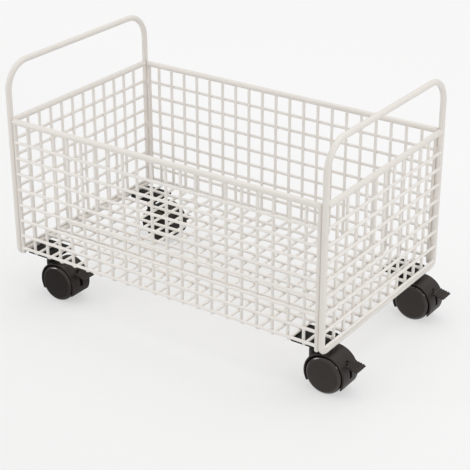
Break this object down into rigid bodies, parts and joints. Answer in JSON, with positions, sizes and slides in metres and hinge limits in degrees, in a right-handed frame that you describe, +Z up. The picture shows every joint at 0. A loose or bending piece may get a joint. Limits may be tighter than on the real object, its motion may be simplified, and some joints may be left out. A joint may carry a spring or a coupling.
{
  "type": "book trolley",
  "caption": "Low wire basket trolley with loop handles at both ends, rolling on black twin-wheel swivel casters with brake levers.",
  "frame": {"origin": "on the floor under the middle of the whole trolley, brake levers included", "axes": "+X along the basket towards the end that the brake levers point to, +Y from the front to the back, +Z up"},
  "size_m": [0.5116, 0.2872, 0.3269],
  "materials": {
    "wire_cream": "cream powder coat, fine satin texture",
    "hood_black": "black moulded plastic, satin",
    "wheel_black": "black nylon with a smooth, lightly glossy face",
    "plate_black": "black coated steel",
    "pin_steel": "zinc plated steel",
    "bush_acetal": "dark acetal bearing plastic"
  },
  "bodies": {
    "basket": {"left_end_frame": "wire_cream", "right_end_frame": "wire_cream", "left_end_rail": "wire_cream", "right_end_rail": "wire_cream", "front_frame": "wire_cream", "back_frame": "wire_cream", "left_end_mesh": "wire_cream", "right_end_mesh": "wire_cream", "front_mesh": "wire_cream", "back_mesh": "wire_cream", "bottom_mesh": "wire_cream", "front_left_top_plate": "plate_black", "front_left_kingpin": "plate_black", "front_right_top_plate": "plate_black", "front_right_kingpin": "plate_black", "back_left_top_plate": "plate_black", "back_left_kingpin": "plate_black", "back_right_top_plate": "plate_black", "back_right_kingpin": "plate_black"},
    "front_left_caster": {"front_left_hood": "hood_black", "front_left_swivel_bush": "bush_acetal", "front_left_axle": "pin_steel", "front_left_lever_pin": "pin_steel"},
    "front_left_near_wheel": {"front_left_near_wheel": "wheel_black"},
    "front_left_far_wheel": {"front_left_far_wheel": "wheel_black"},
    "front_left_brake_lever": {"front_left_brake_lever": "hood_black"},
    "front_right_caster": {"front_right_hood": "hood_black", "front_right_swivel_bush": "bush_acetal", "front_right_axle": "pin_steel", "front_right_lever_pin": "pin_steel"},
    "front_right_near_wheel": {"front_right_near_wheel": "wheel_black"},
    "front_right_far_wheel": {"front_right_far_wheel": "wheel_black"},
    "front_right_brake_lever": {"front_right_brake_lever": "hood_black"},
    "back_left_caster": {"back_left_hood": "hood_black", "back_left_swivel_bush": "bush_acetal", "back_left_axle": "pin_steel", "back_left_lever_pin": "pin_steel"},
    "back_left_near_wheel": {"back_left_near_wheel": "wheel_black"},
    "back_left_far_wheel": {"back_left_far_wheel": "wheel_black"},
    "back_left_brake_lever": {"back_left_brake_lever": "hood_black"},
    "back_right_caster": {"back_right_hood": "hood_black", "back_right_swivel_bush": "bush_acetal", "back_right_axle": "pin_steel", "back_right_lever_pin": "pin_steel"},
    "back_right_near_wheel": {"back_right_near_wheel": "wheel_black"},
    "back_right_far_wheel": {"back_right_far_wheel": "wheel_black"},
    "back_right_brake_lever": {"back_right_brake_lever": "hood_black"}
  },
  "joints": [
    {"name": "front_left_swivel", "type": "hinge", "parent": "basket", "child": "front_left_caster", "pos_m": [-0.22445, -0.11, 0.05], "axis": [0, 0, 1], "continuous": true},
    {"name": "front_left_near_wheel_spin", "type": "hinge", "parent": "front_left_caster", "child": "front_left_near_wheel", "pos_m": [-0.20095, -0.11, 0.025], "axis": [0, 1, 0], "continuous": true},
    {"name": "front_left_far_wheel_spin", "type": "hinge", "parent": "front_left_caster", "child": "front_left_far_wheel", "pos_m": [-0.20095, -0.11, 0.025], "axis": [0, 1, 0], "continuous": true},
    {"name": "front_left_brake_press", "type": "hinge", "parent": "front_left_caster", "child": "front_left_brake_lever", "pos_m": [-0.18695, -0.11, 0.039], "axis": [0, 1, 0], "range_deg": [0, 15]},
    {"name": "front_right_swivel", "type": "hinge", "parent": "basket", "child": "front_right_caster", "pos_m": [0.19035, -0.11, 0.05], "axis": [0, 0, 1], "continuous": true},
    {"name": "front_right_near_wheel_spin", "type": "hinge", "parent": "front_right_caster", "child": "front_right_near_wheel", "pos_m": [0.21385, -0.11, 0.025], "axis": [0, 1, 0], "continuous": true},
    {"name": "front_right_far_wheel_spin", "type": "hinge", "parent": "front_right_caster", "child": "front_right_far_wheel", "pos_m": [0.21385, -0.11, 0.025], "axis": [0, 1, 0], "continuous": true},
    {"name": "front_right_brake_press", "type": "hinge", "parent": "front_right_caster", "child": "front_right_brake_lever", "pos_m": [0.22785, -0.11, 0.039], "axis": [0, 1, 0], "range_deg": [0, 15]},
    {"name": "back_left_swivel", "type": "hinge", "parent": "basket", "child": "back_left_caster", "pos_m": [-0.22445, 0.11, 0.05], "axis": [0, 0, 1], "continuous": true},
    {"name": "back_left_near_wheel_spin", "type": "hinge", "parent": "back_left_caster", "child": "back_left_near_wheel", "pos_m": [-0.20095, 0.11, 0.025], "axis": [0, 1, 0], "continuous": true},
    {"name": "back_left_far_wheel_spin", "type": "hinge", "parent": "back_left_caster", "child": "back_left_far_wheel", "pos_m": [-0.20095, 0.11, 0.025], "axis": [0, 1, 0], "continuous": true},
    {"name": "back_left_brake_press", "type": "hinge", "parent": "back_left_caster", "child": "back_left_brake_lever", "pos_m": [-0.18695, 0.11, 0.039], "axis": [0, 1, 0], "range_deg": [0, 15]},
    {"name": "back_right_swivel", "type": "hinge", "parent": "basket", "child": "back_right_caster", "pos_m": [0.19035, 0.11, 0.05], "axis": [0, 0, 1], "continuous": true},
    {"name": "back_right_near_wheel_spin", "type": "hinge", "parent": "back_right_caster", "child": "back_right_near_wheel", "pos_m": [0.21385, 0.11, 0.025], "axis": [0, 1, 0], "continuous": true},
    {"name": "back_right_far_wheel_spin", "type": "hinge", "parent": "back_right_caster", "child": "back_right_far_wheel", "pos_m": [0.21385, 0.11, 0.025], "axis": [0, 1, 0], "continuous": true},
    {"name": "back_right_brake_press", "type": "hinge", "parent": "back_right_caster", "child": "back_right_brake_lever", "pos_m": [0.22785, 0.11, 0.039], "axis": [0, 1, 0], "range_deg": [0, 15]}
  ]
}
